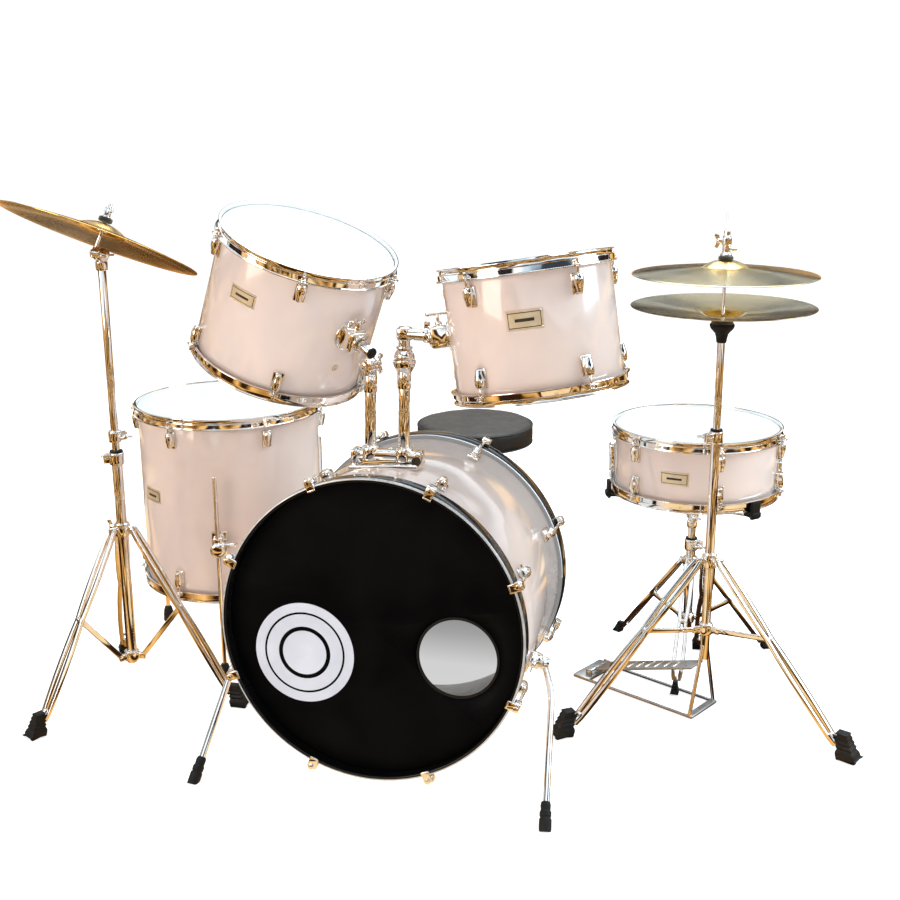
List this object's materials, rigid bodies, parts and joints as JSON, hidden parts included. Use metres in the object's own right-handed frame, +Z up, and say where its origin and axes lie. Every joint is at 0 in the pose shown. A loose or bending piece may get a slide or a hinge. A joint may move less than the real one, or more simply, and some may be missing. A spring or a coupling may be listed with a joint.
{
  "type": "acoustic drum kit",
  "caption": "Drum kit with bass drum, mounted toms, floor tom, snare drum, hi-hat, crash cymbal, bass pedal and round throne, with tilting, sliding and folding hardware.",
  "frame": {"origin": "on the floor, in the middle of the underside of the bass pedal's base plate", "axes": "+Z up, -Y towards the audience, along the bass drum's centre line, +X to the hi-hat's side"},
  "size_m": [1.7225, 1.2975, 1.07],
  "materials": {
    "pearl_shell": "white pearl wrap, polished",
    "black_hoop": "black lacquer, polished",
    "coated_head": "coated white film",
    "black_head": "smooth black film",
    "chrome_hardware": "polished chrome",
    "pedal_steel": "satin",
    "cymbal_bronze": "lathed bronze",
    "seat_vinyl": "soft black cover"
  },
  "bodies": {
    "floor_set": {"bass_shell": "pearl_shell", "bass_front_hoop": "black_hoop", "bass_rear_hoop": "black_hoop", "bass_front_head": "black_head", "bass_batter_head": "coated_head", "tom_mount_base": "chrome_hardware", "floor_tom_shell": "pearl_shell", "floor_tom_top_hoop": "chrome_hardware", "floor_tom_top_head": "coated_head", "floor_tom_bottom_head": "chrome_hardware", "snare_stand_tripod": "chrome_hardware", "bass_pedal_frame": "pedal_steel", "hihat_lower_tube": "chrome_hardware", "hihat_leg_1": "chrome_hardware", "hihat_leg_2": "chrome_hardware", "hihat_leg_3": "chrome_hardware", "hihat_upper_tube": "chrome_hardware", "hihat_bottom_cymbal": "cymbal_bronze", "crash_lower_tube": "chrome_hardware", "throne_tripod": "chrome_hardware"},
    "spur_right": {"bass_spur_right": "chrome_hardware"},
    "spur_left": {"bass_spur_left": "chrome_hardware"},
    "large_post": {"large_tom_post": "chrome_hardware"},
    "large_tom": {"large_tom_arm": "chrome_hardware", "large_tom_shell": "pearl_shell", "large_tom_top_hoop": "chrome_hardware", "large_tom_top_head": "coated_head", "large_tom_bottom_head": "chrome_hardware"},
    "small_post": {"small_tom_post": "chrome_hardware"},
    "small_tom": {"small_tom_arm": "chrome_hardware", "small_tom_shell": "pearl_shell", "small_tom_top_hoop": "chrome_hardware", "small_tom_top_head": "coated_head", "small_tom_bottom_head": "chrome_hardware"},
    "floor_leg_1": {"floor_tom_leg_1": "chrome_hardware"},
    "floor_leg_2": {"floor_tom_leg_2": "chrome_hardware"},
    "floor_leg_3": {"floor_tom_leg_3": "chrome_hardware"},
    "snare_post": {"snare_stand_upper_tube": "chrome_hardware"},
    "snare_drum": {"snare_stand_basket": "chrome_hardware", "snare_shell": "pearl_shell", "snare_top_hoop": "chrome_hardware", "snare_top_head": "coated_head", "snare_bottom_head": "chrome_hardware"},
    "snare_lever": {"snare_throw_off_lever": "chrome_hardware"},
    "hat_board": {"hihat_footboard": "pedal_steel"},
    "hat_rod": {"hihat_pull_rod": "chrome_hardware", "hihat_top_cymbal": "cymbal_bronze"},
    "crash_sleeve": {"crash_collar": "chrome_hardware"},
    "crash_leg_1": {"crash_leg_1": "chrome_hardware"},
    "crash_strut_1": {"crash_strut_1": "chrome_hardware"},
    "crash_leg_2": {"crash_leg_2": "chrome_hardware"},
    "crash_strut_2": {"crash_strut_2": "chrome_hardware"},
    "crash_leg_3": {"crash_leg_3": "chrome_hardware"},
    "crash_strut_3": {"crash_strut_3": "chrome_hardware"},
    "crash_post": {"crash_upper_tube": "chrome_hardware"},
    "crash_tilter": {"crash_tilter": "chrome_hardware"},
    "crash_plate": {"crash_cymbal": "cymbal_bronze"},
    "seat": {"throne_seat": "seat_vinyl"},
    "pedal_board": {"bass_pedal_footboard": "pedal_steel"},
    "beater": {"bass_pedal_beater": "pedal_steel"}
  },
  "joints": [
    {"name": "spur_right_fold", "type": "hinge", "parent": "floor_set", "child": "spur_right", "pos_m": [0.284, -0.42832, 0.218], "axis": [-0.9552, 0.0183, 0.2954], "range_deg": [0, 45]},
    {"name": "spur_left_fold", "type": "hinge", "parent": "floor_set", "child": "spur_left", "pos_m": [-0.284, -0.42832, 0.218], "axis": [-0.9552, -0.0183, -0.2954], "range_deg": [0, 45]},
    {"name": "large_tom_turn", "type": "hinge", "parent": "floor_set", "child": "large_post", "pos_m": [-0.049, -0.40884, 0.59752], "axis": [0, 0.0618, 0.9981], "range_deg": [-15, 15]},
    {"name": "large_tom_tilt", "type": "hinge", "parent": "large_post", "child": "large_tom", "pos_m": [-0.049, -0.3981, 0.77119], "axis": [0.38, 0.9232, -0.0571], "range_deg": [-10, 10]},
    {"name": "small_tom_turn", "type": "hinge", "parent": "floor_set", "child": "small_post", "pos_m": [0.017, -0.40884, 0.59752], "axis": [0, 0.0618, 0.9981], "range_deg": [-15, 15]},
    {"name": "small_tom_tilt", "type": "hinge", "parent": "small_post", "child": "small_tom", "pos_m": [0.017, -0.39705, 0.78815], "axis": [-0.07, 0.9975, 0], "range_deg": [-10, 10]},
    {"name": "floor_tom_leg_1_slide", "type": "slide", "parent": "floor_set", "child": "floor_leg_1", "axis": [0, 0, 1], "range_m": [0, 0.12]},
    {"name": "floor_tom_leg_2_slide", "type": "slide", "parent": "floor_set", "child": "floor_leg_2", "axis": [0, 0, 1], "range_m": [0, 0.12]},
    {"name": "floor_tom_leg_3_slide", "type": "slide", "parent": "floor_set", "child": "floor_leg_3", "axis": [0, 0, 1], "range_m": [0, 0.12]},
    {"name": "snare_height", "type": "slide", "parent": "floor_set", "child": "snare_post", "axis": [0, 0, 1], "range_m": [-0.025, 0.06]},
    {"name": "snare_tilt", "type": "hinge", "parent": "snare_post", "child": "snare_drum", "pos_m": [0.532, 0.14, 0.345], "axis": [0.2599, -0.9656, 0], "range_deg": [-8, 8]},
    {"name": "throw_off_lever", "type": "hinge", "parent": "snare_drum", "child": "snare_lever", "pos_m": [0.3452, 0.14, 0.459], "axis": [0, -1, 0], "range_deg": [0, 80]},
    {"name": "hihat_pedal", "type": "hinge", "parent": "floor_set", "child": "hat_board", "pos_m": [0.34537, 0.00182, 0.016], "axis": [0.4695, 0.8829, 0], "range_deg": [0, 13.4]},
    {"name": "hihat_pull", "type": "slide", "parent": "floor_set", "child": "hat_rod", "axis": [0, 0, 1], "range_m": [-0.0595, 0]},
    {"name": "crash_collar_slide", "type": "slide", "parent": "floor_set", "child": "crash_sleeve", "axis": [0, 0, 1], "range_m": [0, 0.0544]},
    {"name": "crash_leg_1_fold", "type": "hinge", "parent": "crash_sleeve", "child": "crash_leg_1", "pos_m": [-0.63135, -0.37028, 0.385], "axis": [0.891, -0.454, 0], "range_deg": [0, 25]},
    {"name": "crash_strut_1_fold", "type": "hinge", "parent": "floor_set", "child": "crash_strut_1", "pos_m": [-0.63135, -0.37028, 0.098], "axis": [-0.891, 0.454, 0], "range_deg": [0, 33]},
    {"name": "crash_leg_2_fold", "type": "hinge", "parent": "crash_sleeve", "child": "crash_leg_2", "pos_m": [-0.59503, -0.34669, 0.385], "axis": [-0.0523, 0.9986, 0], "range_deg": [0, 25]},
    {"name": "crash_strut_2_fold", "type": "hinge", "parent": "floor_set", "child": "crash_strut_2", "pos_m": [-0.59503, -0.34669, 0.098], "axis": [0.0523, -0.9986, 0], "range_deg": [0, 33]},
    {"name": "crash_leg_3_fold", "type": "hinge", "parent": "crash_sleeve", "child": "crash_leg_3", "pos_m": [-0.63362, -0.32703, 0.385], "axis": [-0.8387, -0.5446, 0], "range_deg": [0, 25]},
    {"name": "crash_strut_3_fold", "type": "hinge", "parent": "floor_set", "child": "crash_strut_3", "pos_m": [-0.63362, -0.32703, 0.098], "axis": [0.8387, 0.5446, 0], "range_deg": [0, 33]},
    {"name": "crash_height", "type": "slide", "parent": "floor_set", "child": "crash_post", "axis": [0, 0, 1], "range_m": [-0.017, 0.12]},
    {"name": "crash_tilt", "type": "hinge", "parent": "crash_post", "child": "crash_tilter", "pos_m": [-0.62, -0.348, 0.958], "axis": [0.811, -0.585, 0], "range_deg": [-8, 15]},
    {"name": "crash_cymbal_spin", "type": "hinge", "parent": "crash_tilter", "child": "crash_plate", "pos_m": [-0.62939, -0.30971, 1.01339], "axis": [0.245, 0.34, 0.908], "continuous": true},
    {"name": "throne_seat_turn", "type": "hinge", "parent": "floor_set", "child": "seat", "pos_m": [-0.052, 0.484, 0.39], "axis": [0, 0, 1], "continuous": true},
    {"name": "bass_pedal_press", "type": "hinge", "parent": "floor_set", "child": "pedal_board", "pos_m": [0, 0.125, 0.018], "axis": [1, 0, 0], "range_deg": [0, 14]},
    {"name": "beater_swing", "type": "hinge", "parent": "floor_set", "child": "beater", "pos_m": [0, -0.093, 0.182], "axis": [1, 0, 0], "range_deg": [0, 44]}
  ],
  "couplings": [
    {"joint": "hihat_pull", "follows": "hihat_pedal", "m_per_rad": -0.252},
    {"joint": "crash_leg_1_fold", "follows": "crash_collar_slide", "rad_per_m": 7.969},
    {"joint": "crash_strut_1_fold", "follows": "crash_collar_slide", "rad_per_m": 10.533},
    {"joint": "crash_leg_2_fold", "follows": "crash_collar_slide", "rad_per_m": 7.969},
    {"joint": "crash_strut_2_fold", "follows": "crash_collar_slide", "rad_per_m": 10.533},
    {"joint": "crash_leg_3_fold", "follows": "crash_collar_slide", "rad_per_m": 7.969},
    {"joint": "crash_strut_3_fold", "follows": "crash_collar_slide", "rad_per_m": 10.533},
    {"joint": "beater_swing", "follows": "bass_pedal_press", "ratio": 3.14}
  ]
}
